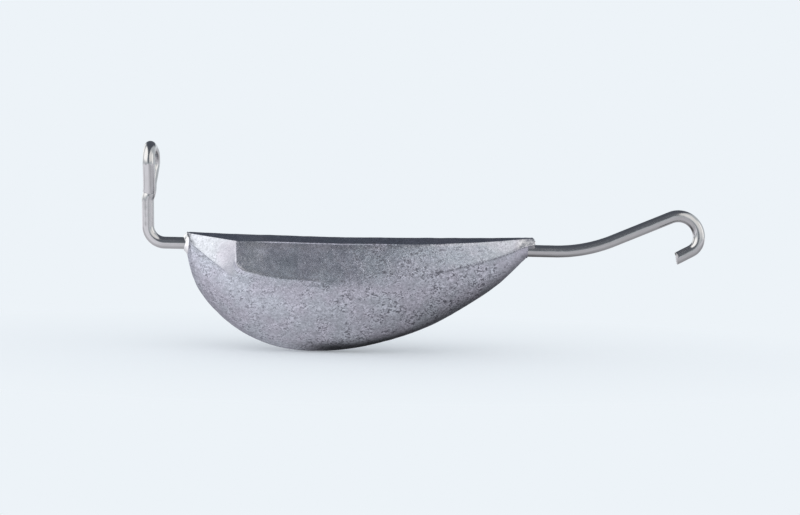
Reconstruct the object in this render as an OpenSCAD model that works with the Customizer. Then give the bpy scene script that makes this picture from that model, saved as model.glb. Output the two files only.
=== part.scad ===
// Keel sinker: a lead keel cast round one bent stainless wire.
// The wire is a closed line eye at the nose and an open hook at the tail.
// Millimetres. The origin is the middle of the line eye, +X runs aft along the wire, +Z is up.

/* [Wire] */
// Diameter of the stainless wire
wire_d = 1.5; // [1.2:0.05:1.7]
// Radius of the bend from the keel up to the shank, at the wire's centre
front_bend_r = 2.1; // [1.7:0.1:3]
// Turn of that bend, from straight ahead to the shank
front_turn = 88.7; // [80:0.1:92]
// Bare straight wire between the nose of the lead and the front bend
nose_run = 2.2; // [1:0.1:6]
// Bare straight wire between the tail of the lead and the tail's first bend
tail_run = 2.5; // [1:0.1:6]

/* [Line eye] */
// Straight shank between the front bend and the eye
shank_run = 3.4; // [2:0.1:10]
// Lean of the eye, back over the keel
eye_lean = 4; // [1:0.5:8]
// Radius of the slight bend that gives the lean, at the wire's centre
eye_lean_r = 4; // [3:0.5:8]
// Width of the hole in the eye
eye_hole_w = 2.5; // [2:0.1:3.5]
// Height of the eye's centre above its neck
eye_rise = 4.1; // [3.8:0.1:6]
// Radius of the bend in the neck, at the wire's centre
neck_bend_r = 1.6; // [1.2:0.1:2]
// Height of the wire's closing end above the neck
closing_end_h = 0.5; // [0.3:0.05:0.8]
// Gap between the closing end and the shank
closing_gap = 0.1; // [0.05:0.01:0.3]

/* [Tail hook] */
// Radius of the tail's first bend, upwards, at the wire's centre
tail_bend_r = 18.5; // [10:0.5:24]
// Slope of the tail above the keel's wire line
tail_rise = 23; // [10:1:32]
// Straight wire between the first bend and the hook
tail_slope_run = 7.7; // [4:0.1:14]
// Radius of the hook's round back, at the wire's centre
hook_bend_r = 2.55; // [2.2:0.05:4]
// Turn of the round back
hook_turn = 125; // [100:1:135]
// Radius of the tighter bend before the tip, at the wire's centre
tip_bend_r = 1.75; // [1.3:0.05:2.4]
// Turn of that bend
tip_turn = 50; // [30:1:60]
// Straight end of the hook
tip_run = 2; // [1.5:0.1:4]

/* [Lead body] */
// Length of the lead
lead_len = 43.5; // [38:0.5:60]
// Half of the lead's greatest thickness
half_w = 4.4; // [3.5:0.1:6]
// Depth of the keel below the wire
keel_depth = 13.1; // [9:0.1:18]
// Distance from the nose to the deepest point
deepest_x = 15.7; // [12:0.1:20]
// Least height of the top ridge above the wire
ridge_h = 1.2; // [1.1:0.05:2]
// Extra height of the ridge at the nose
ridge_sag = 0.25; // [0:0.05:0.6]
// Distance from the nose to the lowest point of the ridge
ridge_low_x = 18; // [14:0.5:24]
// Half width of the flat top
top_half_w = 3.1; // [2.4:0.1:3.4]
// Fall of the roof-shaped top, from its ridge to its edges
roof_slope = 12.5; // [4:0.5:18]
// Width of the bevel under the edges of the top
bevel_w = 0.35; // [0.1:0.05:0.6]
// Height of that bevel
bevel_h = 0.7; // [0.3:0.05:1]
// Length of the wedge-shaped nose
nose_len = 6.7; // [4:0.1:10]
// Distance from the nose to the start of the top's taper
taper_x = 26.8; // [22:0.2:32]
// Lead that covers the wire's underside at the nose and the tail
end_cover = 0.25; // [0.2:0.05:0.6]
// Space between the wire and the hole it was cast into
cast_gap = 0.02; // [0.01:0.01:0.1]
// Setback of the tail's lower corner behind its upper one
tail_setback = 0.9; // [0.3:0.1:2]
// Setback of the nose's upper corner
nose_setback = 0.35; // [0.1:0.05:0.8]
// Height of the chine above the wire line at the very nose
chine_nose_h = 0.9; // [0.5:0.05:1]

/* [Hidden] */
$fn = 48;

wire_r = wire_d / 2;
bore_r = wire_r + cast_gap;
eye_r = eye_hole_w / 2 + wire_r;
keel_run = nose_run + lead_len + tail_run;
// Straights and bends stop this short of each other, and a ball a little thicker than the wire joins them
joint_gap = 0.01;
joint_swell = 0.01;

// Stations along the lead, and points down one side of a section
nose_stations = 12;
body_stations = 30;
flank_steps = 3;
belly_steps = 11;

// Where the chine lies, as a share of the height from the ridge to the keel
chine_nose_share = 0.45;
chine_share = 0.385;
// Half width at the end of the nose, as a share of the greatest
nose_w_share = 0.93;
// Powers that shape the keel's outline ahead of its deepest point and behind it
keel_nose_power = 2.1;
keel_nose_round = 0.59;
keel_tail_power = 2.1;
// Powers that shape the plan and the belly
chine_taper_power = 1.9;
top_taper_power = 1.7;
belly_power = 1.9;
belly_round = 0.62;
// Crowding of the stations towards the nose and the tail
nose_crowding = 1.7;
tail_crowding = 1.15;

// A direction in the XZ plane, by its angle above +X
function heading(angle) = [cos(angle), 0, sin(angle)];
// The travel along a right-hand bend in that plane, from one heading to another
function right_bend(r, from, to) = r * [sin(from) - sin(to), 0, cos(to) - cos(from)];

// The middle of the line eye, measured from the point where the front bend leaves the keel's wire line
shank_heading = 180 - front_turn;
eye_heading = shank_heading - eye_lean;
eye_from_bend = right_bend(front_bend_r, 180, shank_heading)
    + shank_run * heading(shank_heading)
    + right_bend(eye_lean_r, shank_heading, eye_heading)
    + eye_rise * heading(eye_heading);

// Places on the wire line, measured from the eye
bend_at = -eye_from_bend;
nose_at = bend_at + [nose_run, 0, 0];

// The eye in its own plane, with the neck at zero and the loop's centre straight above it
neck_offset = norm([neck_bend_r, eye_rise]);
neck_turn = asin((eye_r + neck_bend_r) / neck_offset) - atan(neck_bend_r / eye_rise);
neck_run = sqrt(pow(neck_offset, 2) - pow(eye_r + neck_bend_r, 2));
// The closing end lies beside the shank, which has already bent away at that height
shank_shift = neck_bend_r - sqrt(pow(neck_bend_r, 2) - pow(closing_end_h, 2));
closing_x = wire_d + closing_gap - shank_shift;
closing_offset = norm([closing_x, eye_rise - closing_end_h]);
closing_run = sqrt(pow(closing_offset, 2) - pow(eye_r, 2));
closing_angle = asin(eye_r / closing_offset) - atan(closing_x / (eye_rise - closing_end_h));
loop_turn = 180 + neck_turn + closing_angle;

// The ball that joins two stretches of wire
module joint() sphere(r = wire_r + joint_swell);

// A straight length of wire, with the rest of the wire at its far end
module run(length) {
    translate([0, 0, joint_gap]) cylinder(r = wire_r, h = length - 2 * joint_gap);
    translate([0, 0, length]) {
        if ($children > 0) joint();
        children();
    }
}

// A bend of the wire towards +X, with the rest of the wire at its far end
module bend(r, turn) {
    gap_angle = joint_gap / r * 180 / PI;
    translate([r, 0, 0]) rotate([90, 0, 0]) rotate([0, 0, 180 - turn + gap_angle])
        rotate_extrude(angle = turn - 2 * gap_angle) translate([r, 0]) circle(r = wire_r);
    translate([r - r * cos(turn), 0, r * sin(turn)]) rotate([0, turn, 0]) {
        joint();
        children();
    }
}

// The same wire, rolled about its own axis so that the next bend goes another way
module roll(angle) rotate([0, 0, angle]) children();

// The wire ahead of the lead: up the shank and round the eye
module front_wire() {
    bend(front_bend_r, front_turn) run(shank_run) bend(eye_lean_r, eye_lean)
        roll(90) bend(neck_bend_r, neck_turn) run(neck_run)
        roll(180) bend(eye_r, loop_turn) run(closing_run);
}

// The wire behind the lead: up the tail and round the hook
module tail_wire() {
    roll(180) bend(tail_bend_r, tail_rise) run(tail_slope_run)
        roll(180) bend(hook_bend_r, hook_turn) bend(tip_bend_r, tip_turn) run(tip_run);
}

// One bent wire: line eye, shank, hidden run through the lead, tail and open hook
module through_wire() {
    color([0.72, 0.72, 0.72]) translate(bend_at) {
        joint();
        rotate([0, -90, 0]) front_wire();
        rotate([0, 90, 0]) run(keel_run) tail_wire();
    }
}

// Height of the ridge above the wire line, at a distance from the nose
function ridge(x) = ridge_h + ridge_sag * pow((x - ridge_low_x) / ridge_low_x, 2);

// Depth of the keel below the wire line, which still covers the wire at both ends
end_depth = bore_r + end_cover;
function keel_share(x) = x < deepest_x
    ? pow(1 - pow(1 - x / deepest_x, keel_nose_power), keel_nose_round)
    : 1 - pow((x - deepest_x) / (lead_len - deepest_x), keel_tail_power);
function keel(x) = max(end_depth, keel_depth * keel_share(x));

// Half width at the chine: a straight wedge, a slow swell, then the taper
end_half_w = bore_r + end_cover;
function chine_half(x) =
    x < nose_len ? end_half_w + (nose_w_share * half_w - end_half_w) * x / nose_len
    : x < deepest_x ? half_w * (1 - (1 - nose_w_share)
        * pow((deepest_x - x) / (deepest_x - nose_len), 2))
    : end_half_w + (half_w - end_half_w)
        * (1 - pow((x - deepest_x) / (lead_len - deepest_x), chine_taper_power));

// Half width of the top between its edges
top_end_half_w = end_half_w / 3;
function top_half(x) =
    x < nose_len ? top_end_half_w + (top_half_w - top_end_half_w) * x / nose_len
    : x < taper_x ? top_half_w
    : top_end_half_w + (top_half_w - top_end_half_w)
        * (1 - pow((x - taper_x) / (lead_len - taper_x), top_taper_power));

// Height of the chine: straight down the nose, then a steady share of the section
function chine_share_at(x) = chine_share + (chine_nose_share - chine_share)
    * max(0, (deepest_x - x) / (deepest_x - nose_len));
function chine_beyond(x) = ridge(x) - chine_share_at(x) * (ridge(x) + keel(x));
function chine(x) = x < nose_len
    ? chine_nose_h + (chine_beyond(nose_len) - chine_nose_h) * x / nose_len
    : chine_beyond(x);

// One side of the section at x, from the ridge to the keel, as [half width, height]
function roof_edge(x) = [top_half(x), ridge(x) - top_half(x) * tan(roof_slope)];
function bevel_share(x) = min(1, (chine_half(x) - top_half(x)) / (half_w - top_half_w));
function bevel_foot(x) = roof_edge(x)
    + bevel_share(x) * [bevel_w, -min(bevel_h, (roof_edge(x)[1] - chine(x)) / 2)];
function flank(x, share) = (1 - share) * bevel_foot(x) + share * [chine_half(x), chine(x)];
function belly(x, share) = [
    chine_half(x) * pow(1 - pow(share, belly_power), belly_round),
    chine(x) - share * (chine(x) + keel(x))
];
function side(x) = [
    roof_edge(x),
    for (i = [0 : flank_steps - 1]) flank(x, i / flank_steps),
    for (i = [0 : belly_steps - 1]) belly(x, sin(90 * i / belly_steps))
];
function section(x) = [
    [x, 0, ridge(x)],
    for (p = side(x)) [x, -p[0], p[1]],
    [x, 0, -keel(x)],
    for (i = [len(side(x)) - 1 : -1 : 0]) [x, side(x)[i][0], side(x)[i][1]]
];

stations = [
    for (i = [0 : nose_stations - 1]) nose_len * pow(i / nose_stations, nose_crowding),
    for (i = [0 : body_stations])
        nose_len + (lead_len - nose_len) * (1 - pow(1 - i / body_stations, tail_crowding))
];

// A skin over sections that all have the same number of points
module loft(sections) {
    n = len(sections[0]);
    last = len(sections) - 1;
    polyhedron(
        points = [for (s = sections) for (p = s) p],
        faces = [
            [for (i = [0 : n - 1]) i],
            for (s = [0 : last - 1]) for (i = [0 : n - 1])
                [s * n + i, (s + 1) * n + i, (s + 1) * n + (i + 1) % n, s * n + (i + 1) % n],
            [for (i = [n - 1 : -1 : 0]) last * n + i]
        ]
    );
}

// A block that trims an end of the lead: its face starts at a point and leans aft or forwards
module trim(at, lean, way) {
    size = 2 * keel_depth;
    translate(at) rotate([0, lean, 0])
        translate([way > 0 ? 0 : -size, -size / 2, -size / 2]) cube(size);
}

// The cast lead: roofed top, wedge nose, chine and rounded keel, with the hole left by the wire
module keel_weight() {
    nose_lean = atan(nose_setback / (ridge(0) - wire_r));
    tail_lean = atan(tail_setback / (ridge(lead_len) + end_depth));
    color([0.62, 0.63, 0.67])
        translate(nose_at) difference() {
            loft([for (x = stations) section(x)]);
            rotate([0, 90, 0])
                translate([0, 0, -nose_run]) cylinder(r = bore_r, h = keel_run);
            trim([0, 0, wire_r], nose_lean, -1);
            trim([lead_len, 0, ridge(lead_len)], tail_lean, 1);
        }
}

through_wire();
keel_weight();
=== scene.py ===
"""A keel sinker: a cast lead keel on one bent stainless wire, on a pale studio floor.

Both pieces are meshes made here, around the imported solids. Sizes are in millimetres and are the
construction's own, and the frame says where the pieces lie.
"""

import math

import bpy
import numpy as np
from mathutils import Matrix, Vector


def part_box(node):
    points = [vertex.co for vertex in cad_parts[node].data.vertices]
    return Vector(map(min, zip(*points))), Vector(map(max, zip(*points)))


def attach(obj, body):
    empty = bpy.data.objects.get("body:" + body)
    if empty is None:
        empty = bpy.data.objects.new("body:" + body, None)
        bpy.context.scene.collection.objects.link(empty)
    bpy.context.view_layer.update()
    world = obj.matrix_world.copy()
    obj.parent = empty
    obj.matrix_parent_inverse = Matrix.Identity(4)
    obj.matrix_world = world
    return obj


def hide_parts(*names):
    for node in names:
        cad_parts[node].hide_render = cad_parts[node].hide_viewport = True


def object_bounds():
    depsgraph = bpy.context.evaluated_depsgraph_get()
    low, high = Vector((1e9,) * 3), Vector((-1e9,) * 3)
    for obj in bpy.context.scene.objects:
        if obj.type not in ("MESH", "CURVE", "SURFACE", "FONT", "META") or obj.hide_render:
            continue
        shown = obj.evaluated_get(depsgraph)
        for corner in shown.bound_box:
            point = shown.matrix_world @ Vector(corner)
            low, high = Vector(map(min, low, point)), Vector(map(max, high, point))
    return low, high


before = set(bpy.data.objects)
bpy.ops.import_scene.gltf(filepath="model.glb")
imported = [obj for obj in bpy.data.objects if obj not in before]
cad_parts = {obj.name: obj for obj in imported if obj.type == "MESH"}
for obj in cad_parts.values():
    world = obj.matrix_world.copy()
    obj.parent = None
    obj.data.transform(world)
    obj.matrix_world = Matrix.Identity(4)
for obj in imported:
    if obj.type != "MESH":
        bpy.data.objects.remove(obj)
cad_low, cad_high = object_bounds()

MM = 0.001
SEED = 7

# Sizes of the wire
WIRE_R = 0.75
FRONT_BEND_R = 2.1
FRONT_TURN = 88.7
NOSE_RUN = 2.2
TAIL_RUN = 2.5
SHANK_RUN = 3.4
SHANK_EXTRA = 0.28
EYE_HOLE_W = 2.5
EYE_RISE = 4.1
NECK_BEND_R = 1.6
CLOSING_END_H = 0.5
CLOSING_GAP = 0.1
TAIL_BEND_R = 18.5
TAIL_RISE = 23
TAIL_SLOPE_RUN = 7.7
HOOK_BEND_R = 2.55
HOOK_TURN = 125
TIP_BEND_R = 1.75
TIP_TURN = 50
TIP_RUN = 2
HOOK_TWIST = 0.12
HOOK_TWIST_RUN = 14
SHANK_SET = 0.11
LEG_BLEND_W = 1.2
LEG_SHIFT_REACH = 0.2

# How the wire was drawn and cut off
TUBE_SIDES = 48
CHAMFER = 0.07
EDGE_STEP = 0.02
CUT_FACE_RADII = (0.02, 0.35, WIRE_R - CHAMFER)
TIP_SKEW = -0.45
DRAWN_WAVE_LEN = 1.1
DRAWN_WAVE_H = 0.0015

# Marks that the bending tools left on the wire: place from the lead's nose, way that it faces,
# size and depth
PRESS_MARKS = (
    ((59.75, 0.0, 4.9), (0, -0.8, 0.6), 0.32, 0.05),
    ((60.3, 0.0, 5.0), (0, -0.9, 0.4), 0.2, 0.025),
    ((-4.1, -1.1, 6.4), (0.3, -1, 0), 0.35, 0.03),
)

# Sizes of the lead
LEAD_LEN = 43.5
HALF_W = 4.4
KEEL_DEPTH = 13.1
DEEPEST_X = 15.7
RIDGE_H = 1.2
RIDGE_SAG = 0.25
RIDGE_LOW_X = 18
TOP_HALF_W = 3.1
ROOF_SLOPE = 10.9
BEVEL_W = 0.35
BEVEL_H = 0.7
KEEL_POWER = 2.1
KEEL_NOSE_POWER = 0.59
KEEL_END_INSET = 0.16
BORE_R = 0.72
NOSE_LEN = 6.7
TAPER_X = 26.8
TAPER_POWER = 1.7
SIDE_TAPER_POWER = 1.9
BELLY_POWERS = (1.9, 0.62)
END_HALF_W = 1.02
END_TOP_SHARE = 1 / 3
NOSE_HALF_W = 4.09
CHINE_NOSE_H = 0.9
CHINE_SHARE = 0.385
CHINE_NOSE_SHARE = 0.065
TAIL_FACE_X = 42.65
CREASE_REACH = 0.22
LOW_CREASE_REACH = 1.1

# The tables below give a value by distance from the lead's nose, unless they say otherwise.
# Where the keel line departs from the construction's curve: at the nose its own depths, then
# how much deeper it runs
NOSE_LINE = (
    (0, 1.08), (0.08, 1.25), (0.17, 1.42), (0.3, 1.8), (0.42, 2.2), (0.6, 2.7), (0.83, 3.2),
    (1.18, 4.03), (1.43, 4.6), (1.7, 5.25),
)
KEEL_TRIM = (
    (1.7, 0), (4, 0.06), (6, 0), (14, 0.01), (19.5, 0.07), (22, 0.02), (25, 0), (27, 0.04),
    (30, 0.14), (32, 0.17), (34, 0.14), (36, 0.19), (38.2, 0.29), (39.3, 0.29), (40.2, 0.2),
    (41, 0.06), (41.9, -0.06), (43.5, -0.15),
)
RIDGE_LIFT = ((8, 0), (12, 0.04), (20, 0), (23, 0.04), (34, 0.04), (38, 0))

# How far above the widest corner the pocket behind the nose ends
BORDER = (
    (5, 2.2), (6.7, 2.0), (7.07, 1.67), (7.8, 1.36), (9.05, 1.24), (10.8, 0.97), (14.5, 0.52),
    (18, 0.15), (43.5, 0.1),
)

# How widely the casting rounds its widest corner, and its keel
CHINE_SOFTNESS = (
    (0, 0.06), (3, 0.08), (6, 0.2), (10, 0.7), (24, 0.8), (33, 0.2), (40, 0.08), (43.5, 0.06),
)
KEEL_SOFTNESS = ((0, 0.05), (3, 0.3), (18, 0.42), (30, 0.22), (42, 0.06))

# The bead along the edge of the top, and how smooth handling and the mould left the body
BEAD = ((8.5, 0), (10.5, 0.1), (25, 0.1), (28, 0))
BODY_WEAR = ((0, 0.25), (12, 0.3), (18, 0), (29, 0), (32, -0.13), (35, -0.13), (38, 0), (41.5, 0.7))

# Other relief of the casting: heights, and depths below the plain section
PARTING_H = 0.04
POCKET_DEPTH = 0.05
STEP_DEPTH = 0.035
LIP_GROOVE_DEPTH = 0.05
FILLET_DEPTH = 0.05

# How finely the casting is drawn: points of its sections and rings, and how many rings there are
BELLY_POINTS = 60
SECTION_POINTS = 500
SIDE_POINTS = 110
RINGS = 300
END_SHARES = (0.1, 0.25, 0.5, 0.8, 1.0)

# The waves in its surface, which lies a little inside the plain section
SLOW_WAVE_LEN = 3.2
SLOW_WAVE_H = 0.008
FINE_WAVE_LEN = 0.9
FINE_WAVE_H = 0.003
END_WAVE_H = 0.014
SHRINK = 0.006

# How far the nose is cut back: all over, for each millimetre above the wire, and at its sides
NOSE_CUT = 0.3
NOSE_CUT_BY_H = 0.2
NOSE_SIDE_CUT = 0.3
NOSE_CUT_RUN = 1.2

# How far the tail's tip reaches past the face below it, by height
TIP_REACH = ((0.68, 0), (0.8, 0.6), (0.95, 0.88), (1.2, 0.95), (1.45, 0.8), (1.7, 0.5))
TIP_START_X = 41

# How far the eye's legs lean aft of the shank's line: height, near leg and far leg
EYE_SHIFTS = (
    (-4.35, 0, 0), (-3.85, 0.22, 0.18), (-3.3, 0.33, 0.3), (-2.6, 0.35, 0.27), (-1.6, 0.35, 0.4),
    (-1.0, 0.35, 0.47), (0, 0.35, 0.6), (1.2, 0.36, 0.6), (2.2, 0.38, 0.3), (3, 0.38, 0.38),
)

# The lead's nose on the wire line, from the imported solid
keel_low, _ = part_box("keel_weight")
NOSE = np.array([keel_low.x / MM, 0, keel_low.z / MM + KEEL_DEPTH])

# The photograph's view, with the clipping in metres
VIEW_DISTANCE = 300
VIEW_WIDTH = 99.2
VIEW_ELEVATION = 5
VIEW_ROLL = 1.3
VIEW_TARGET = np.array([31.05, 0, -11.01])
SENSOR_W = 36
CLIP_START = 0.01
CLIP_END = 20

# Colours, as shares of light
BACKGROUND = (0.847, 0.896, 0.939, 1)
MATT_SURROUND = (0.6, 0.62, 0.65, 1)
FLOOR = (0.83, 0.87, 0.9, 1)
# Glow of the painted floor reflection
FLOOR_REFLECTION_GLOW = (0.918, 0.912, 0.965, 1)
DARK_CARD = (0.152, 0.166, 0.2, 1)
LAMPLIGHT = (1.0, 0.985, 0.965, 1)
LEAD_TONES = ((0.432, 0.431, 0.484, 1), (0.418, 0.44, 0.482, 1))
# Colour of the dark specks, and of the painted shade
LEAD_DARK = (0.11, 0.11, 0.13, 1)
# Colour of the lead's painted highlight
LEAD_HIGHLIGHT = (0.82, 0.82, 0.82, 1)
LEAD_EDGE_TINT = (0.6, 0.61, 0.64, 1)
WIRE_TONES = ((0.4, 0.4, 0.4, 1), (0.46, 0.46, 0.465, 1))
WIRE_DULL = (0.36, 0.36, 0.35, 1)

# Depths of the surface detail, and the most that the lead is rough from the mould
GRAIN_DEPTH = 0.02
SPECK_DEPTH = 0.06
DRAWN_LINE_DEPTH = 0.009
ROUGHEST = 1.6

# The studio, in metres and degrees. The dark card's tables go by the angle along its arch:
# its width to the left and to the right, and how much it covers
FLOOR_GAP = 0.00002
FLOOR_SHIFT_X = -0.012
FLOOR_RADIUS = 3.0
FLOOR_SIDES = 64
# Size of the card with the painted floor reflection
REFLECTION_CARD_X = (-0.6, 0.7)
REFLECTION_CARD_Y = (-0.4, 0.2)
ARCH_RADIUS = 0.45
ARCH_SOLID_SHARE = 0.75
ARCH_WIDTHS = (
    (0, 13, 9), (12, 16, 10), (25, 20, 11), (50, 21, 12), (70, 24, 19), (90, 28, 26),
    (110, 36, 34), (130, 38, 36), (150, 32, 32), (171, 26, 26),
)
ARCH_COVER = (
    (0, 0.6), (6, 0.72), (13, 0.82), (22, 0.88), (45, 0.92), (70, 0.96), (100, 1), (163, 1),
    (171, 0.7),
)

# Softboxes glow evenly in this share of their half size, and their lamps give matt things this
# share of the glow
SOFTBOX_EVEN_SHARE = 0.45
LAMP_SHARE = 0.32


def make_camera():
    """The camera looks along +Y from a little above, rolled as the photograph is."""
    elevation = math.radians(VIEW_ELEVATION)
    roll = math.radians(VIEW_ROLL)
    forward = Vector((0, math.cos(elevation), -math.sin(elevation)))
    level = Vector((1, 0, 0))
    upright = level.cross(forward)
    right = level * math.cos(roll) + upright * math.sin(roll)
    up = upright * math.cos(roll) - level * math.sin(roll)
    data = bpy.data.cameras.new("camera")
    data.sensor_width = SENSOR_W
    data.lens = data.sensor_width * VIEW_DISTANCE / VIEW_WIDTH
    data.clip_start = CLIP_START
    data.clip_end = CLIP_END
    camera = bpy.data.objects.new("camera", data)
    place = Vector(VIEW_TARGET * MM) - forward * VIEW_DISTANCE * MM
    turn = Matrix((right, up, -forward)).transposed().to_4x4()
    camera.matrix_world = Matrix.Translation(place) @ turn
    bpy.context.scene.collection.objects.link(camera)
    bpy.context.scene.camera = camera


def smooth_step(value):
    value = np.clip(value, 0, 1)
    return value * value * (3 - 2 * value)


def rising(value, start, reach):
    """0 up to the start, and 1 from a reach past it."""
    return smooth_step((value - start) / reach)


def falling(value, end, reach):
    """1 until a reach short of the end, and 0 from there."""
    return smooth_step((end - value) / reach)


def bell(value, centre, width):
    """1 at the centre, and fading out on both sides of it."""
    return np.exp(-((value - centre) / width) ** 2)


def look_up(table, value):
    """The value of a table of pairs, between its rows."""
    return np.interp(value, *np.array(table).T)


def even_share(weight):
    """Running share of a weight, from 0 to 1, for spacing points by it."""
    share = np.concatenate([[0], np.cumsum((weight[1:] + weight[:-1]) / 2)])
    return share / share[-1]


def travel_along(points):
    """Distance along a line of points."""
    return np.concatenate([[0], np.cumsum(np.linalg.norm(np.diff(points, axis=0), axis=1))])


class Waves:
    """A smooth, seeded noise: the sum of plane waves of about one wavelength."""

    def __init__(self, wavelength, count=40, spread=0.35, seed=SEED):
        draw = np.random.default_rng(seed)
        ways = draw.normal(size=(count, 3))
        ways /= np.linalg.norm(ways, axis=1)[:, None]
        lengths = wavelength * np.exp(spread * draw.normal(size=count))
        self.k = ways * (2 * np.pi / lengths)[:, None]
        self.phase = draw.uniform(0, 2 * np.pi, count)
        self.scale = math.sqrt(2 / count)

    def __call__(self, points):
        return self.scale * np.cos(points @ self.k.T + self.phase).sum(axis=1)


def mesh_object(name, points, faces, along=None, **amounts):
    """A smooth-shaded mesh from points in millimetres, with a vector or numbers at each point."""
    mesh = bpy.data.meshes.new(name)
    mesh.from_pydata((points * MM).tolist(), [], [tuple(f) for f in faces])
    mesh.polygons.foreach_set("use_smooth", [True] * len(mesh.polygons))
    if along is not None:
        layer = mesh.attributes.new("along", "FLOAT_VECTOR", "POINT")
        layer.data.foreach_set("vector", np.asarray(along, np.float32).ravel())
    for amount, values in amounts.items():
        layer = mesh.attributes.new(amount, "FLOAT", "POINT")
        layer.data.foreach_set("value", np.asarray(values, np.float32))
    mesh.update()
    made = bpy.data.objects.new(name, mesh)
    bpy.context.scene.collection.objects.link(made)
    return made


def tube_faces(rings, around):
    """Outward faces of a closed tube, whose rings turn clockwise as seen along it."""
    faces = []
    for r in range(rings - 1):
        for j in range(around):
            after = (j + 1) % around
            here, onward = r * around, (r + 1) * around
            faces.append((here + j, here + after, onward + after, onward + j))
    start_cap = tuple(range(around - 1, -1, -1))
    end_cap = tuple((rings - 1) * around + j for j in range(around))
    return faces + [start_cap, end_cap]


# The wire's path

class Path:
    """A wire's centre line, laid out from a start by straights, bends and rolls."""

    STEP = 0.12

    def __init__(self, start, heading, side):
        self.at = np.array(start, float)
        self.heading = np.array(heading, float)
        self.side = np.array(side, float)
        self.points = [self.at.copy()]

    def run(self, length):
        count = max(1, round(length / self.STEP))
        for i in range(count):
            self.points.append(self.at + self.heading * length * (i + 1) / count)
        self.at = self.points[-1].copy()
        return self

    def bend(self, radius, turn):
        """A bend towards the side."""
        count = max(2, round(radius * math.radians(turn) / self.STEP))
        start, heading, side = self.at, self.heading, self.side
        for i in range(count):
            a = math.radians(turn) * (i + 1) / count
            inward, onward = radius * (1 - math.cos(a)), radius * math.sin(a)
            self.points.append(start + side * inward + heading * onward)
        self.at = self.points[-1].copy()
        self.heading = side * math.sin(a) + heading * math.cos(a)
        self.side = side * math.cos(a) - heading * math.sin(a)
        return self

    def roll(self, turn):
        a = math.radians(turn)
        other = np.cross(self.heading, self.side)
        self.side = self.side * math.cos(a) + other * math.sin(a)
        return self


def eye_layout():
    """Turns and lengths of the eye's bends, as the construction works them out."""
    eye_r = EYE_HOLE_W / 2 + WIRE_R
    offset = math.hypot(NECK_BEND_R, EYE_RISE)
    both_r = eye_r + NECK_BEND_R
    neck_turn = math.degrees(math.asin(both_r / offset) - math.atan(NECK_BEND_R / EYE_RISE))
    neck_run = math.sqrt(offset ** 2 - both_r ** 2)
    shift = NECK_BEND_R - math.sqrt(NECK_BEND_R ** 2 - CLOSING_END_H ** 2)
    closing_x = 2 * WIRE_R + CLOSING_GAP - shift
    rise = EYE_RISE - CLOSING_END_H
    closing_offset = math.hypot(closing_x, rise)
    closing_run = math.sqrt(closing_offset ** 2 - eye_r ** 2)
    closing = math.degrees(math.asin(eye_r / closing_offset) - math.atan(closing_x / rise))
    return eye_r, neck_turn, neck_run, 180 + neck_turn + closing, closing_run


def wire_path():
    """The whole wire, from the closing end of the eye to the tip of the hook."""
    eye_r, neck_turn, neck_run, loop_turn, closing_run = eye_layout()
    bend_at = NOSE - [NOSE_RUN, 0, 0]
    front = Path(bend_at, (-1, 0, 0), (0, 0, 1))
    front.run(SHANK_SET).bend(FRONT_BEND_R, FRONT_TURN).run(SHANK_RUN + SHANK_EXTRA)
    front.roll(90).bend(NECK_BEND_R, neck_turn).run(neck_run)
    front.roll(180).bend(eye_r, loop_turn).run(closing_run)
    eye = np.array(front.points)
    heights, near_leg, far_leg = np.array(EYE_SHIFTS).T
    near = np.clip(0.5 - eye[:, 1] / LEG_BLEND_W, 0, 1)
    near_shift = np.interp(eye[:, 2], heights, near_leg) * near
    far_shift = np.interp(eye[:, 2], heights, far_leg) * (1 - near)
    travel = np.arange(len(eye)) * Path.STEP
    eye[:, 0] += softened(near_shift + far_shift, travel, LEG_SHIFT_REACH)
    back = Path(bend_at, (1, 0, 0), (0, 0, 1))
    back.run(NOSE_RUN + LEAD_LEN + TAIL_RUN)
    back.bend(TAIL_BEND_R, TAIL_RISE).run(TAIL_SLOPE_RUN)
    back.roll(180).bend(HOOK_BEND_R, HOOK_TURN).bend(TIP_BEND_R, TIP_TURN).run(TIP_RUN)
    line = np.array(back.points)
    past_lead = rising(line[:, 0], bend_at[0] + NOSE_RUN + LEAD_LEN, HOOK_TWIST_RUN)
    line[:, 1] += (line[:, 2] - NOSE[2]) * HOOK_TWIST * past_lead
    return np.concatenate([eye[::-1], line[1:]])


def frames_along(points):
    """Unit tangents, and two directions square to them that turn as little as they can."""
    tangents = np.gradient(points, axis=0)
    tangents /= np.linalg.norm(tangents, axis=1)[:, None]
    first = np.zeros_like(points)
    first[0] = np.cross(tangents[0], [1.0, 0.3, 0.1])
    for i in range(len(points)):
        side = first[max(0, i - 1)]
        side = side - tangents[i] * (side @ tangents[i])
        first[i] = side / np.linalg.norm(side)
    return tangents, first, np.cross(tangents, first)


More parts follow.
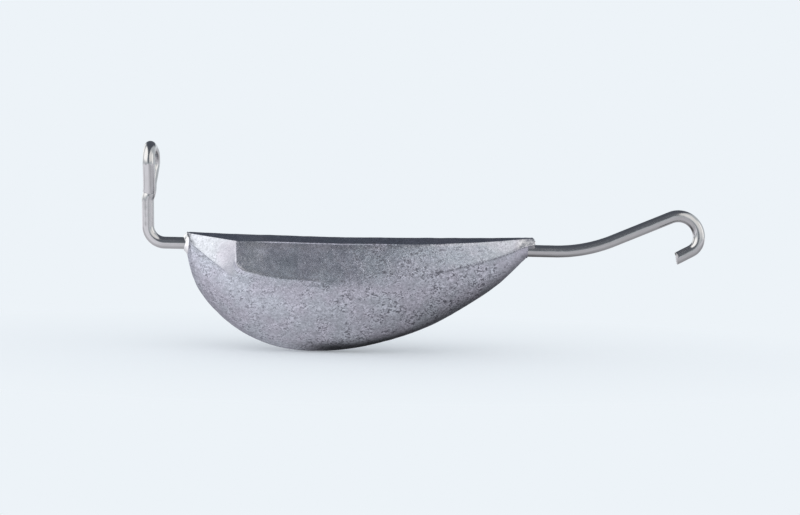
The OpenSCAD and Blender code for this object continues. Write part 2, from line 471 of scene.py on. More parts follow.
def make_wire():
    """The bent wire: a round tube with chamfered, sheared ends and slight drawing waves."""
    points = wire_path()
    tangents, first, second = frames_along(points)
    travel = travel_along(points)
    angles = np.linspace(0, 2 * np.pi, TUBE_SIDES, endpoint=False)
    turned = np.stack([np.cos(angles) * WIRE_R, np.sin(angles) * WIRE_R], axis=1)
    waves = Waves(DRAWN_WAVE_LEN, seed=SEED + 1)
    rings, centres, along = [], [], []

    def ring(i, radius, push=0.0, skew=0.0):
        out = np.cos(angles)[:, None] * first[i] + np.sin(angles)[:, None] * second[i]
        slant = out[:, 2] * skew
        rings.append(points[i] + out * radius + tangents[i] * (push + slant * radius)[:, None])
        centres.append(np.tile(points[i], (TUBE_SIDES, 1)))
        along.append(np.concatenate([turned, np.full((TUBE_SIDES, 1), travel[i] + push)], axis=1))

    last = len(points) - 1
    end = [(radius, 0.0) for radius in CUT_FACE_RADII] + [(WIRE_R - EDGE_STEP, EDGE_STEP)]
    for radius, push in end:
        ring(0, radius, push)
    for i in range(1, last):
        ring(i, WIRE_R)
    for radius, push in reversed(end):
        ring(last, radius, -push, TIP_SKEW)
    grid = np.concatenate(rings)
    out = grid - np.concatenate(centres)
    out /= np.linalg.norm(out, axis=1)[:, None]
    grid = grid + out * (DRAWN_WAVE_H * waves(grid))[:, None]
    for place, way, size, depth in PRESS_MARKS:
        way = np.array(way) / np.linalg.norm(way)
        near = np.linalg.norm(grid - NOSE - place - way * WIRE_R, axis=1) / size
        facing = np.clip(out @ way, 0, 1)
        grid = grid - out * (depth * np.exp(-near ** 2) * facing)[:, None]
    faces = tube_faces(len(rings), TUBE_SIDES)
    return mesh_object("bent_wire", grid, faces, along=np.concatenate(along))


# The lead's shape

def ridge(x):
    sag = RIDGE_SAG * ((x - RIDGE_LOW_X) / RIDGE_LOW_X) ** 2
    return RIDGE_H + sag + look_up(RIDGE_LIFT, x)


def keel(x):
    ahead = np.clip(1 - x / DEEPEST_X, 0, 1)
    behind = np.clip((x - DEEPEST_X) / (LEAD_LEN - DEEPEST_X), 0, 1)
    nose_share = (1 - ahead ** KEEL_POWER) ** KEEL_NOSE_POWER
    share = np.where(x < DEEPEST_X, nose_share, 1 - behind ** KEEL_POWER)
    trimmed = KEEL_DEPTH * share + look_up(KEEL_TRIM, x)
    behind_nose = np.maximum(END_HALF_W - KEEL_END_INSET, trimmed)
    return np.where(x < NOSE_LINE[-1][0], look_up(NOSE_LINE, x), behind_nose)


def chine_half(x):
    wedge = END_HALF_W + (NOSE_HALF_W - END_HALF_W) * x / NOSE_LEN
    swell = HALF_W - (HALF_W - NOSE_HALF_W) * ((DEEPEST_X - x) / (DEEPEST_X - NOSE_LEN)) ** 2
    behind = np.clip((x - DEEPEST_X) / (LEAD_LEN - DEEPEST_X), 0, 1)
    taper = END_HALF_W + (HALF_W - END_HALF_W) * (1 - behind ** SIDE_TAPER_POWER)
    return np.where(x < NOSE_LEN, wedge, np.where(x < DEEPEST_X, swell, taper))


def top_half(x):
    end = END_HALF_W * END_TOP_SHARE
    wedge = end + (TOP_HALF_W - end) * x / NOSE_LEN
    behind = np.clip((x - TAPER_X) / (LEAD_LEN - TAPER_X), 0, 1)
    taper = end + (TOP_HALF_W - end) * (1 - behind ** TAPER_POWER)
    return np.where(x < NOSE_LEN, wedge, taper)


def chine(x):
    ahead = np.clip((DEEPEST_X - x) / (DEEPEST_X - NOSE_LEN), 0, None)
    beyond = ridge(x) - (CHINE_SHARE + CHINE_NOSE_SHARE * ahead) * (ridge(x) + keel(x))
    at_nose_end = np.interp(NOSE_LEN, x, beyond)
    wedge = CHINE_NOSE_H + (at_nose_end - CHINE_NOSE_H) * x / NOSE_LEN
    return np.where(x < NOSE_LEN, wedge, beyond)


def softened(values, xs, reach):
    """Values along x with their corners rounded over a reach, and the ends kept."""
    step = xs[1] - xs[0]
    pad = int(4 * reach / step) + 1
    ahead = values[0] - (values[1] - values[0]) * np.arange(pad, 0, -1)
    behind = values[-1] + (values[-1] - values[-2]) * np.arange(1, pad + 1)
    kernel = np.exp(-0.5 * (np.arange(-pad, pad + 1) * step / reach) ** 2)
    return np.convolve(np.concatenate([ahead, values, behind]), kernel / kernel.sum(), "valid")


def lead_outline(x):
    """Half width and height of the corners at stations x, with the nose's crease rounded."""
    fine = np.arange(0, LEAD_LEN + 0.01, 0.02)
    rows = {}
    for name, form in (("top_half", top_half), ("chine_half", chine_half), ("chine", chine)):
        rows[name] = np.interp(x, fine, softened(form(fine), fine, CREASE_REACH))
    rows["ridge"] = ridge(x)
    rows["keel"] = keel(x)
    rows["border"] = look_up(BORDER, x)
    rows["full"] = rising(x, 6.35, 0.7) * falling(x, 19, 3)
    return rows


def half_section(rows, i):
    """Corner points from the ridge to the keel, and how far along they lie.

    The corners are the ridge, the top's edge, its bevel's foot, the pocket's border and the belly.
    """
    th, ch = rows["top_half"][i], rows["chine_half"][i]
    rise, low, mid = rows["ridge"][i], -rows["keel"][i], rows["chine"][i]
    edge = np.array([th, rise - th * math.tan(math.radians(ROOF_SLOPE))])
    share = min(1, (ch - th) / (HALF_W - TOP_HALF_W))
    foot = edge + share * np.array([BEVEL_W, -min(BEVEL_H, (edge[1] - mid) / 2)])
    above, full = min(rows["border"][i], 0.7 * (foot[1] - mid)), rows["full"][i]
    along = above / (foot[1] - mid)
    border = np.array([ch + (foot[0] - ch) * along * (1 - full), mid + above])
    sweep = np.sin(np.linspace(0, np.pi / 2, BELLY_POINTS))
    power, outer_power = BELLY_POWERS
    belly_half = ch * (1 - sweep ** power) ** outer_power
    belly = np.stack([belly_half, mid + (low - mid) * sweep], axis=1)
    corners = np.concatenate([[[0, rise]], [edge], [foot], [border], belly])
    return corners, travel_along(corners)


def smooth_half(rows, x, i):
    """One side of the section at a station, with each corner rounded as far as the casting is."""
    corners, travel = half_section(rows, i)
    at_edge, at_foot, at_border, at_chine = travel[1:5]
    total = travel[-1]
    size = min(1.0, total / 12)
    fine = np.linspace(0, total, SECTION_POINTS)
    dense = np.stack([np.interp(fine, travel, corners[:, k]) for k in (0, 1)], axis=1)
    mirror = dense * [-1, 1]
    step = fine[1]
    pad = min(len(fine) - 1, int(3.2 / step))
    whole = np.concatenate([mirror[pad:0:-1], dense, mirror[-2:-pad - 2:-1]])
    where = np.arange(-pad, len(fine) + pad) * step
    weight = (
        1
        + 7 * bell(fine, at_edge, 0.22)
        + 2.5 * bell(fine, at_foot, 0.4)
        + 4 * bell(fine, at_border, 0.4)
        + 2 * bell(fine, at_chine, 0.7)
        + 2 * bell(fine, total, 0.8)
    )
    targets = np.interp(np.linspace(0, 1, SIDE_POINTS), even_share(weight), fine)
    soft_chine, soft_keel = look_up(CHINE_SOFTNESS, x), look_up(KEEL_SOFTNESS, x)
    soft_border = look_up(
        (
            (0, 0.3 * size), (6.2, 0.5), (6.9, 0.1), (9, 0.12), (15, 0.3),
            (18, soft_chine), (43.5, soft_chine),
        ),
        x,
    )
    reach = look_up(
        (
            (0, 0.1 * size),
            (at_edge * 0.9, 0.1 * size),
            (at_edge, 0.05 * size),
            (at_foot, 0.16 * size),
            ((at_foot + at_border) / 2, 0.3 * size),
            (at_border, soft_border),
            (at_chine, soft_chine),
            ((at_chine + total) / 2, 0.4 * size),
            (total, soft_keel),
        ),
        targets,
    )
    spread = np.exp(-0.5 * ((where[None, :] - targets[:, None]) / reach[:, None]) ** 2)
    spread /= spread.sum(axis=1)[:, None]
    return spread @ whole, targets, at_edge, at_border, at_chine, total


def relief(x, targets, at_edge, at_border, at_chine, total):
    """What stands proud of the plain section, or lies below it, at one station."""
    proud = look_up(BEAD, x) * bell(targets, at_edge + 0.02, 0.07)
    proud += PARTING_H * bell(targets, total, 0.09)
    # The flank behind the nose is a shallow pocket, with a crisp front and a softer foot
    pocket = rising(x, 6.65, 0.4) * falling(x, 22, 8)
    pocket = pocket * falling(targets, at_border, 0.3) * rising(targets, at_edge, 1.8)
    proud -= POCKET_DEPTH * pocket
    # A fine step runs under the crease from the nose
    step = rising(x, 0, 0.6) * falling(x, 6.5, 3)
    below = targets - at_chine - 0.03
    proud -= STEP_DEPTH * step * rising(below, 0, 0.06) * np.exp(-np.clip(below, 0, None) / 0.5)
    # A groove behind the lip at the wire, and a flat fillet along the keel
    proud -= LIP_GROOVE_DEPTH * bell(x, 0.22, 0.1)
    fillet = rising(x, 1, 2) * falling(x, 15, 5)
    proud -= FILLET_DEPTH * fillet * bell(targets, total - 1.1, 0.12)
    return proud


def painted_shade_at(x, targets, at_edge, at_border, at_chine):
    """Painted shade: how much darker the lead is drawn in its creases, along the pocket's edges,
    under the bead, at the facet's end and on the tail's top, at one station.
    """
    nose_crease = rising(x, 0, 0.5) * falling(x, 7.5, 4) * bell(targets, at_chine + 0.06, 0.07)
    tail_crease = rising(x, 26, 6) * bell(targets, at_chine + 0.05, 0.14)
    tail_top = rising(x, 28, 8) * falling(targets, at_edge - 0.05, 0.1)
    pocket_foot = rising(x, 6.7, 0.15) * falling(x, 22, 6) * bell(targets, at_border - 0.16, 0.12)
    pocket_front = bell(x, 7, 0.12) * falling(targets, at_border, 0.2) * (targets > at_edge + 0.5)
    under_bead = rising(x, 7, 2) * falling(x, 27, 4) * bell(targets, at_edge + 0.5, 0.28)
    on_facet = (targets > at_edge) * (targets < at_chine)
    facet_end = rising(x, 4.2, 1.6) * falling(x, 6.9, 0.3) * on_facet
    # Painted shade, deepest in the creases and the groove behind the lip
    shade_amount = 0.75 * (nose_crease + tail_crease) + 0.35 * under_bead + 0.5 * bell(x, 0.24, 0.08)
    shade_amount += 0.3 * (tail_top + pocket_foot + pocket_front + facet_end)
    return np.clip(shade_amount, 0, 1)


def wear_at(x, targets, at_border, at_chine):
    """How smooth the mould and handling left the surface, at one station."""
    facet = falling(x, 7.1, 0.6) * falling(targets, at_chine + 0.2, 0.3)
    pocket = rising(x, 6.8, 0.4) * falling(x, 26, 12) * falling(targets, at_border, 0.4)
    tail = rising(x, 27, 8) * falling(targets, at_chine, 0.4)
    body = look_up(BODY_WEAR, x)
    worn = np.minimum(body + (0.5 - 0.5 * body) * tail, 0.8)
    worn = worn + np.clip(0.4 - worn, 0, None) * pocket
    return worn + np.clip(0.75 - worn, 0, None) * facet


def painted_highlight_at(x, targets, at_border, at_chine):
    """Painted highlight: how far the lead is drawn lighter, fully at the lip around the wire and
    partly at the tail's tip and the pocket's front, at one station.
    """
    lip = falling(x, 0.32, 0.2)
    tail_tip = rising(x, TIP_START_X, 1) * falling(targets, at_chine, 0.1)
    pocket_front = (x > 6.9) * bell(x, 8.7, 1.7) * falling(targets, at_border + 0.3, 0.3)
    return lip + 0.6 * tail_tip + 0.22 * pocket_front


def lead_stations():
    """Distances from the nose, closer at the nose, at its crease and at the tail."""
    fine = np.linspace(0, TAIL_FACE_X, 2000)
    weight = (
        1
        + 5 * bell(fine, 0, 0.7)
        + 2.5 * bell(fine, NOSE_LEN, 0.5)
        + 3 * bell(fine, TAIL_FACE_X, 1.2)
    )
    return np.interp(np.linspace(0, 1, RINGS), even_share(weight), fine)


def closed_in(ring, centre_x, set_back, bulge):
    """Rings that draw an end in to the wire, with a slight lip."""
    made = []
    away = ring[:, 1:] / np.linalg.norm(ring[:, 1:], axis=1)[:, None]
    for share in END_SHARES:
        inner = np.concatenate([centre_x + set_back * away[:, :1] ** 2, away * BORE_R], axis=1)
        mixed = ring * (1 - share) + inner * share
        mixed[:, 0] += bulge * math.sin(math.pi * share)
        made.append(mixed)
    return made


def both_sides(near):
    """A value at each point of one side, and again on the other side's way back."""
    return np.concatenate([near, near[-2:0:-1]])


def soften_low_crease(rings, xs, softness):
    """Low on the flank, the crease between nose and body is a soft one."""
    apart = (xs[:, None] - xs[None, :]) / LOW_CREASE_REACH
    spread = np.exp(-0.5 * apart ** 2) * np.gradient(xs)[None, :]
    spread /= spread.sum(axis=1)[:, None]
    soft = np.einsum("ik,kjc->ijc", spread, rings)
    share = np.array(softness) * (rising(xs, 2.5, 2.5) * falling(xs, 14, 4))[:, None]
    rings[:, :, 1:] += (soft - rings)[:, :, 1:] * share[:, :, None]


def shape_ends(rings, xs):
    """The nose is cut back above the wire and at its sides, and the tail's tip reaches out."""
    high = np.clip(rings[:, :, 2] - WIRE_R, 0, None)
    wide = np.clip(np.abs(rings[:, :, 1]) / END_HALF_W, 0, 1) ** 2
    back = NOSE_CUT + NOSE_CUT_BY_H * high + NOSE_SIDE_CUT * wide
    back = back * falling(xs, NOSE_CUT_RUN, NOSE_CUT_RUN)[:, None]
    at_tip = np.clip((xs - TIP_START_X) / (TAIL_FACE_X - TIP_START_X), 0, 1)[:, None] ** 2
    rings[:, :, 0] += back + look_up(TIP_REACH, rings[:, :, 2]) * at_tip


def waved(grid):
    """The points of a casting, never quite true: slow waves, finer ones, and more at its ends."""
    points = grid.reshape(-1, 3)
    slow, fine = Waves(SLOW_WAVE_LEN), Waves(FINE_WAVE_LEN, seed=SEED + 2)
    onward = np.gradient(grid, axis=0)
    sideways = np.roll(grid, -1, axis=1) - np.roll(grid, 1, axis=1)
    outward = np.cross(sideways, onward).reshape(-1, 3)
    outward /= np.maximum(np.linalg.norm(outward, axis=1), 1e-9)[:, None]
    at_ends = falling(points[:, 0], 0.8, 0.8) + 0.4 * rising(points[:, 0], 41.4, 0.6)
    fine_h = FINE_WAVE_H + END_WAVE_H * at_ends
    swell = SLOW_WAVE_H * slow(points) + fine_h * fine(points) - SHRINK
    return points + outward * swell[:, None]


def make_lead():
    """The casting: rounded creases, a bead along the top's edge, a pocket and a parting line."""
    xs = lead_stations()
    rows = lead_outline(xs)
    rings, softness, painted_shade, wear, painted_highlight = [], [], [], [], []
    for i, x in enumerate(xs):
        half, targets, at_edge, at_border, at_chine, total = smooth_half(rows, x, i)
        # The painted shade and the painted highlight are worked out with the wear, at each station
        softness.append(both_sides(rising(targets, at_border, 0.8)))
        painted_shade.append(both_sides(painted_shade_at(x, targets, at_edge, at_border, at_chine)))
        wear.append(both_sides(wear_at(x, targets, at_border, at_chine)))
        painted_highlight.append(both_sides(painted_highlight_at(x, targets, at_border, at_chine)))
        normal = np.gradient(half, axis=0)
        normal = np.stack([-normal[:, 1], normal[:, 0]], axis=1)
        normal /= np.linalg.norm(normal, axis=1)[:, None]
        half = half + normal * relief(x, targets, at_edge, at_border, at_chine, total)[:, None]
        half[0, 0] = half[-1, 0] = 0
        near = np.stack([np.full(SIDE_POINTS, x), -half[:, 0], half[:, 1]], axis=1)
        far = near[-2:0:-1] * [1, -1, 1]
        rings.append(np.concatenate([near, far]))
    rings = np.array(rings)
    soften_low_crease(rings, xs, softness)
    shape_ends(rings, xs)

    # Both ends close in to the wire
    nose_rings = closed_in(rings[0], 0.0, set_back=0.26, bulge=-0.06)[::-1]
    tail_rings = closed_in(rings[-1], rings[-1][:, :1] - 0.1, set_back=0, bulge=0.03)
    closing, level = len(END_SHARES), np.ones_like(painted_shade[0])
    # The closing rings get no painted shade; those at the nose get the full painted highlight,
    # those at the tail a little
    painted_highlight = [level] * closing + painted_highlight + [level * 0.3] * closing
    painted_shade = [level * 0] * closing + painted_shade + [level * 0] * closing
    wear = [level * 0.7] * closing + wear + [level * 0.7] * closing
    grid = np.concatenate([nose_rings, rings, tail_rings])
    faces = tube_faces(*grid.shape[:2])
    amounts = {"painted_shade": painted_shade, "wear": wear, "painted_highlight": painted_highlight}
    amounts = {name: np.concatenate(values) for name, values in amounts.items()}
    return mesh_object("cast_lead_keel", waved(grid) + NOSE, faces, **amounts)


# Materials

class Nodes:
    """A short way to build a node material."""

    def __init__(self, name):
        self.material = bpy.data.materials.new(name)
        self.material.use_nodes = True
        self.tree = self.material.node_tree
        self.tree.nodes.clear()

    def add(self, kind, inputs=(), **settings):
        node = self.tree.nodes.new(kind)
        for key, value in settings.items():
            setattr(node, key, value)
        for key, value in dict(inputs).items():
            if isinstance(value, bpy.types.NodeSocket):
                self.tree.links.new(value, node.inputs[key])
            else:
                node.inputs[key].default_value = value
        return node

    def millimetres(self):
        """The place on the piece, in millimetres."""
        return self.scaled(self.add("ShaderNodeTexCoord").outputs["Object"], 1 / MM)

    def attribute(self, name, output="Fac"):
        return self.add("ShaderNodeAttribute", attribute_name=name).outputs[output]

    def noise(self, vector, scale, detail=2.0, roughness=0.5, distortion=0.0):
        inputs = {
            "Vector": vector,
            "Scale": scale,
            "Detail": detail,
            "Roughness": roughness,
            "Distortion": distortion,
        }
        return self.add("ShaderNodeTexNoise", inputs).outputs["Fac"]

    def fit(self, value, low, high, to_low=0.0, to_high=1.0):
        return self.add(
            "ShaderNodeMapRange", {0: value, 1: low, 2: high, 3: to_low, 4: to_high}, clamp=True
        ).outputs[0]

    def math(self, operation, a, b):
        return self.add("ShaderNodeMath", {0: a, 1: b}, operation=operation).outputs[0]

    def scaled(self, vector, factor):
        inputs = {0: vector, 3: factor}
        return self.add("ShaderNodeVectorMath", inputs, operation="SCALE").outputs[0]

    def stretched(self, vector, factors):
        inputs = {0: vector, 1: factors}
        return self.add("ShaderNodeVectorMath", inputs, operation="MULTIPLY").outputs[0]

    def mix(self, share, a, b):
        return self.add("ShaderNodeMix", {0: share, 6: a, 7: b}, data_type="RGBA").outputs[2]

    def bump(self, height, distance, strength, normal=None):
        inputs = {"Height": height, "Distance": distance, "Strength": strength}
        if normal is not None:
            inputs["Normal"] = normal
        return self.add("ShaderNodeBump", inputs).outputs[0]

    def glow(self, colour, strength=1.0):
        return self.add("ShaderNodeEmission", {"Color": colour, "Strength": strength}).outputs[0]

    def finished(self, shader):
        self.add("ShaderNodeOutputMaterial", {"Surface": shader})
        return self.material

    def metal(self, tone, rough, normal, **others):
        inputs = {"Base Color": tone, "Metallic": 1.0, "Roughness": rough, "Normal": normal}
        inputs.update(others)
        return self.finished(self.add("ShaderNodeBsdfPrincipled", inputs).outputs[0])

    def blended(self, share, first, second):
        inputs = {0: share, 1: first, 2: second}
        return self.finished(self.add("ShaderNodeMixShader", inputs).outputs[0])


def lead_material():
    """As-cast lead: blue grey, satin, mottled, with clusters of dark specks and a fine grain,
    painted shade in its creases and a painted highlight at its lip.
    """
    n = Nodes("cast_lead")
    at = n.millimetres()
    drawn = n.stretched(at, (0.75, 1, 1.1))
    clouds = n.noise(at, 0.35, detail=2)
    patches = n.noise(at, 0.75, detail=3, roughness=0.6)
    grain = n.noise(at, 4.2, detail=2, roughness=0.6)
    specks = n.noise(drawn, 3.6, detail=2, roughness=0.5, distortion=1.3)
    rough_cast = n.math("SUBTRACT", 1.0, n.attribute("wear"))
    tone = n.mix(n.fit(clouds, 0.38, 0.62), *LEAD_TONES)
    level = n.math("ADD", n.fit(grain, 0.25, 0.75, 0.8, 1.2), n.fit(patches, 0.3, 0.7, -0.15, 0.13))
    level = n.math("ADD", level, n.math("MULTIPLY", n.fit(specks, 0.45, 0.35, 0, 0.28), rough_cast))
    tone = n.scaled(tone, level)
    anywhere = n.fit(rough_cast, 1, ROUGHEST)
    clustered = n.math("ADD", n.fit(patches, 0.44, 0.56, 0.2, 1), anywhere)
    dark = n.math("MULTIPLY", n.fit(specks, 0.515, 0.59), n.math("MINIMUM", clustered, 1.0))
    dark = n.math("MULTIPLY", dark, n.fit(rough_cast, 0, ROUGHEST, 0.05, 1.34))
    # Painted shade from the mesh, broken up by the grain, darkens the tone as the specks do
    grainy_shade = n.math("MULTIPLY", n.attribute("painted_shade"), n.fit(grain, 0.4, 0.6, 0.2, 1.2))
    dark = n.math("MAXIMUM", dark, grainy_shade)
    tone = n.mix(dark, tone, LEAD_DARK)
    # Painted highlight, lightening the tone toward a pale grey
    tone = n.mix(n.attribute("painted_highlight"), tone, LEAD_HIGHLIGHT)
    rough = n.math("ADD", n.fit(patches, 0.3, 0.7, 0.21, 0.29), n.math("MULTIPLY", dark, 0.2))
    grain_strength = n.fit(rough_cast, 0, ROUGHEST, 0.1, 0.72)
    speck_strength = n.fit(rough_cast, 0, ROUGHEST, 0.05, 0.79)
    normal = n.bump(grain, GRAIN_DEPTH * MM, grain_strength)
    normal = n.bump(specks, -SPECK_DEPTH * MM, speck_strength, normal)
    return n.metal(tone, rough, normal, **{"Specular Tint": LEAD_EDGE_TINT})


def wire_material():
    """Drawn stainless wire: bright, with fine lines along it and a few dull patches."""
    n = Nodes("stainless_wire")
    drawn = n.stretched(n.attribute("along", "Vector"), (1, 1, 0.06))
    lines = n.noise(drawn, 9, detail=3, roughness=0.65)
    dull = n.noise(n.millimetres(), 0.6, detail=1)
    tone = n.mix(n.fit(lines, 0.3, 0.7), *WIRE_TONES)
    tone = n.mix(n.fit(dull, 0.5, 0.8, 0, 0.35), tone, WIRE_DULL)
    rough = n.math("ADD", n.fit(lines, 0.3, 0.7, 0.07, 0.15), n.fit(dull, 0.45, 0.75, 0, 0.05))
    return n.metal(tone, rough, n.bump(lines, DRAWN_LINE_DEPTH * MM, 0.5))


def floor_material(centre):
    """A pale floor that keeps a soft shadow under the keel and runs out into the background."""
    n = Nodes("pale_floor")
    place = n.add("ShaderNodeTexCoord").outputs["Object"]
    offset = n.add("ShaderNodeVectorMath", {0: place, 1: centre}, operation="SUBTRACT").outputs[0]
    squashed = n.stretched(offset, (0.6, 1, 0))
    away = n.add("ShaderNodeVectorMath", {0: squashed}, operation="LENGTH").outputs[1]
    matt_share = n.fit(away, 8 * MM, 45 * MM, 0.75, 0)
    matt = n.add("ShaderNodeBsdfDiffuse", {"Color": FLOOR}).outputs[0]
    return n.blended(matt_share, n.glow(BACKGROUND), matt)


def dark_material():
    """A dark card with soft edges."""
    n = Nodes("dark_card")
    clear = n.add("ShaderNodeBsdfTransparent").outputs[0]
    return n.blended(n.attribute("cover"), clear, n.glow(DARK_CARD))


def painted_floor_reflection_material():
    """A painted reflection of the floor as the metal sees it: painted light where the lamps fall,
    and a painted shadow under and behind the keel.
    """
    n = Nodes("painted_floor_reflection")
    place = n.add("ShaderNodeSeparateXYZ", {0: n.millimetres()})
    x, y = place.outputs[0], place.outputs[1]

    def ease(value, start, end):
        inputs = {0: value, 1: start, 2: end}
        return n.add("ShaderNodeMapRange", inputs, interpolation_type="SMOOTHSTEP").outputs[0]

    def product(*values):
        made = values[0]
        for value in values[1:]:
            made = n.math("MULTIPLY", made, value)
        return made

    # Painted light: brighter toward the left, where the lamps light the floor, and a little to the
    # right
    near_left = n.math("ADD", product(ease(x, 38, 8), 0.37), product(ease(x, 4, -14), 0.28))
    near_left = product(ease(x, -200, -70), near_left)
    far_left = product(ease(x, -70, -180), ease(y, -150, -50), 0.7)
    right = n.math("ADD", product(ease(x, 36, 52), 0.12), product(ease(x, 90, 190), 0.3))
    base = n.math("ADD", n.math("ADD", 0.83, right), n.math("ADD", near_left, far_left))
    # Painted shadow of the keel, deepest under its middle and reaching behind it
    depth = n.math("ADD", 0.35, product(ease(x, 24, 44), ease(x, 64, 46), 0.45))
    under = n.math("SUBTRACT", 1.0, product(depth, ease(y, -16, 6), ease(y, 60, 25)))
    length = n.fit(x, 23.5, 54, 2.1, 9)
    into = n.math("DIVIDE", n.math("ADD", y, 3.0), length)
    behind = product(ease(x, 16, 23), ease(x, 58, 28), ease(into, 0, 1), ease(y, 6, 2), 0.92)
    behind = n.math("SUBTRACT", 1.0, behind)
    return n.finished(n.glow(FLOOR_REFLECTION_GLOW, product(base, under, behind)))


# The studio

def make_floor():
    """A round floor under the keel's deepest point."""
    low = cad_low.z - FLOOR_GAP
    centre = ((cad_low.x + cad_high.x) / 2 + FLOOR_SHIFT_X, 0, low)
    turns = [2 * math.pi * i / FLOOR_SIDES for i in range(FLOOR_SIDES)]
    ring = [
        (centre[0] + FLOOR_RADIUS * math.cos(a), FLOOR_RADIUS * math.sin(a), low) for a in turns
    ]
    mesh = bpy.data.meshes.new("floor")
    mesh.from_pydata(ring, [], [tuple(range(FLOOR_SIDES))])
    floor = bpy.data.objects.new("floor", mesh)
    bpy.context.scene.collection.objects.link(floor)
    mesh.materials.append(floor_material(centre))


def reflected_only(name, points, faces, material, cover=None):
    """A card that only the metal's reflections see."""
    mesh = bpy.data.meshes.new(name)
    mesh.from_pydata(points, [], faces)
    if cover is not None:
        layer = mesh.attributes.new("cover", "FLOAT", "POINT")
        layer.data.foreach_set("value", np.asarray(cover, np.float32))
    card = bpy.data.objects.new(name, mesh)
    bpy.context.scene.collection.objects.link(card)
    mesh.materials.append(material)
    card.visible_camera = False
    card.visible_diffuse = False
    card.visible_shadow = False
    card.visible_transmission = False
    return card


def make_dark_arch():
    """A dark card that arches over the object, wider behind, and gives the metal its contrast."""
    centre = Vector(VIEW_TARGET * MM)
    stops, widths_left, widths_right = np.array(ARCH_WIDTHS).T
    points, cover = [], []
    angles = np.arange(0, 172, 3)
    for angle in angles:
        wide_left = np.interp(angle, stops, widths_left)
        wide_right = np.interp(angle, stops, widths_right)
        for across, solid in ((-1, 0), (-ARCH_SOLID_SHARE, 1), (ARCH_SOLID_SHARE, 1), (1, 0)):
            wide = across * (wide_left if across < 0 else wide_right)
            points.append((
                centre.x + ARCH_RADIUS * math.tan(math.radians(wide)),
                -ARCH_RADIUS * math.cos(math.radians(angle)),
                centre.z + ARCH_RADIUS * math.sin(math.radians(angle)),
            ))
            cover.append(solid * look_up(ARCH_COVER, angle))
    faces = [
        (4 * i + j, 4 * i + j + 1, 4 * i + j + 5, 4 * i + j + 4)
        for i in range(len(angles) - 1) for j in range(3)
    ]
    reflected_only("dark_arch", points, faces, dark_material(), cover)


def make_painted_floor_reflection():
    """A glowing card on the floor, painted with the floor's light and the keel's shadow, which only
    reflections see.
    """
    (left, right), (front, back) = REFLECTION_CARD_X, REFLECTION_CARD_Y
    sides = [(left, front), (right, front), (right, back), (left, back)]
    points = [(x, y, cad_low.z) for x, y in sides]
    reflected_only("painted_floor_reflection", points, [(0, 1, 2, 3)], painted_floor_reflection_material())


def softbox_material(name, half_size, radiance):
    """The glow of a softbox, brightest in the middle and fading out to its edges."""
    n = Nodes(name)
    place = n.add("ShaderNodeTexCoord").outputs["Object"]
    axes = n.add("ShaderNodeSeparateXYZ", {0: place}).outputs
    share = 1.0
    for axis, half in zip(axes, half_size):
        away = n.math("ABSOLUTE", axis, 0)
        inputs = {0: away, 1: half, 2: half * SOFTBOX_EVEN_SHARE}
        edge = n.add("ShaderNodeMapRange", inputs, interpolation_type="SMOOTHSTEP").outputs[0]
        share = n.math("MULTIPLY", edge, share)
    clear = n.add("ShaderNodeBsdfTransparent").outputs[0]
    return n.blended(share, clear, n.glow(LAMPLIGHT, radiance))


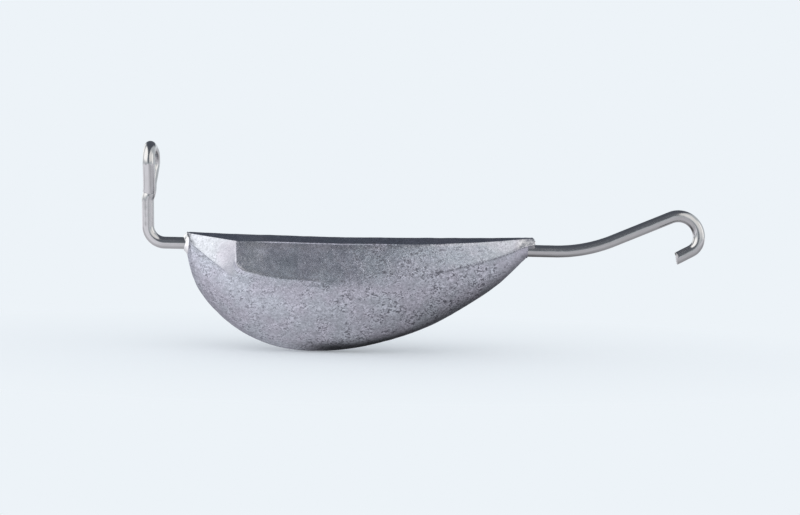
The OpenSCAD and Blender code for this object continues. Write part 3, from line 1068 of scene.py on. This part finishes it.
def make_softbox(name, azimuth, elevation, distance, size, radiance):
    """A soft lamp that faces the object, and its glow as metal sees it.

    Azimuth 0 is the camera's side and 90 its right.
    """
    a, e = math.radians(azimuth), math.radians(elevation)
    way = Vector((math.sin(a) * math.cos(e), -math.cos(a) * math.cos(e), math.sin(e)))
    place = Vector(VIEW_TARGET * MM) + way * distance
    turn = way.to_track_quat("Z", "Y").to_euler()
    data = bpy.data.lights.new(name, "AREA")
    data.shape = "RECTANGLE"
    data.size, data.size_y = size
    data.energy = math.pi * size[0] * size[1] * radiance * LAMP_SHARE
    lamp = bpy.data.objects.new(name, data)
    lamp.location, lamp.rotation_euler = place, turn
    lamp.visible_camera = False
    lamp.visible_glossy = False
    bpy.context.scene.collection.objects.link(lamp)
    w, h = size[0] / 2, size[1] / 2
    corners = [(-w, -h, 0), (w, -h, 0), (w, h, 0), (-w, h, 0)]
    material = softbox_material(name, (w, h), radiance)
    card = reflected_only(name + "_card", corners, [(0, 1, 2, 3)], material)
    card.location, card.rotation_euler = place, turn


def make_world():
    """The pale background, which metal sees too, and a plainer light for the rest."""
    world = bpy.data.worlds.new("studio")
    world.use_nodes = True
    tree = world.node_tree
    tree.nodes.clear()
    path = tree.nodes.new("ShaderNodeLightPath")
    seen = tree.nodes.new("ShaderNodeMath")
    seen.operation = "MAXIMUM"
    tree.links.new(path.outputs["Is Camera Ray"], seen.inputs[0])
    tree.links.new(path.outputs["Is Glossy Ray"], seen.inputs[1])
    through = tree.nodes.new("ShaderNodeMath")
    through.operation = "MAXIMUM"
    tree.links.new(seen.outputs[0], through.inputs[0])
    tree.links.new(path.outputs["Is Transmission Ray"], through.inputs[1])
    mix = tree.nodes.new("ShaderNodeMixShader")
    plain = tree.nodes.new("ShaderNodeBackground")
    plain.inputs["Color"].default_value = MATT_SURROUND
    pale = tree.nodes.new("ShaderNodeBackground")
    pale.inputs["Color"].default_value = BACKGROUND
    out = tree.nodes.new("ShaderNodeOutputWorld")
    tree.links.new(through.outputs[0], mix.inputs[0])
    tree.links.new(plain.outputs[0], mix.inputs[1])
    tree.links.new(pale.outputs[0], mix.inputs[2])
    tree.links.new(mix.outputs[0], out.inputs["Surface"])
    bpy.context.scene.world = world


make_camera()
make_world()
make_floor()
make_dark_arch()
make_painted_floor_reflection()
make_softbox("left_softbox", -68, 36, 0.5, (0.98, 0.72), 2.2)
make_softbox("right_fill", 40, 36, 0.5, (0.62, 0.66), 1.5)
make_softbox("right_softbox", 84, 18, 0.55, (0.4, 0.5), 1.9)
make_softbox("left_rim", -138, 12, 0.5, (0.36, 0.3), 1.8)

wire = make_wire()
wire.data.materials.append(wire_material())
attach(wire, "root")
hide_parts("through_wire")

lead = make_lead()
lead.data.materials.append(lead_material())
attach(lead, "root")
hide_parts("keel_weight")

bpy.context.scene.view_settings.view_transform = "Standard"
